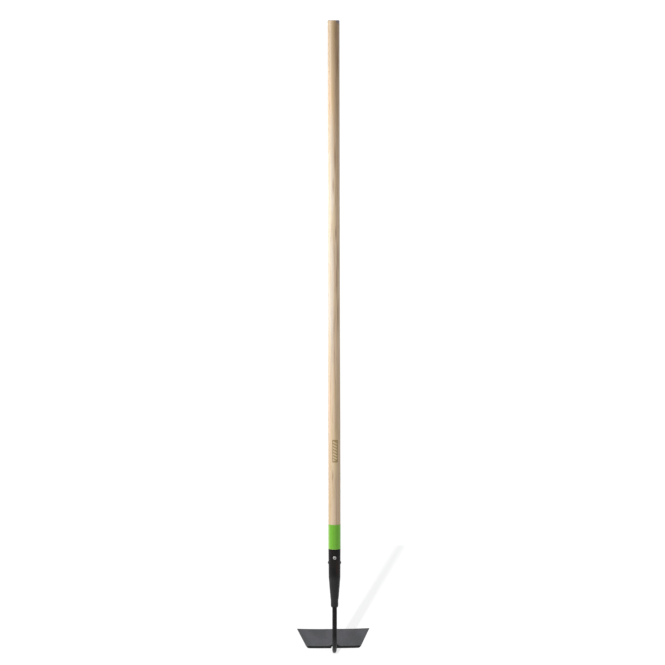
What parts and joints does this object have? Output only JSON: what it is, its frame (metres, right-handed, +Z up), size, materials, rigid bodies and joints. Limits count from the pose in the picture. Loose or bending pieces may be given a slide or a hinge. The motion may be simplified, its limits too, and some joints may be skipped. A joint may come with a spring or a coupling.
{
  "type": "draw hoe",
  "caption": "Draw hoe with a trapezoid steel blade on a bent rod neck, a tapered riveted socket ferrule and a long round ash handle with a green band.",
  "frame": {"origin": "bottom centre of the tool's box, level with the lowest point of the neck's bend", "axes": "+Z up along the handle's axis towards the butt, +Y the way the blade reaches, +X across the blade"},
  "size_m": [0.1778, 0.1487, 1.518],
  "materials": {
    "ash_wood": "sanded, thin clear coat",
    "green_band": "smooth semi-gloss",
    "black_paint": "satin powder coat",
    "grey_paint": "satin paint, slightly worn",
    "bright_steel": "zinc plated",
    "dark_steel": "painted over"
  },
  "bodies": {
    "root": {"handle": "ash_wood", "colour_band": "green_band", "ferrule": "black_paint", "front_rivet": "bright_steel", "cross_rivet": "dark_steel", "neck": "black_paint", "socket_weld": "black_paint", "blade": "grey_paint", "blade_weld": "black_paint"}
  },
  "joints": []
}
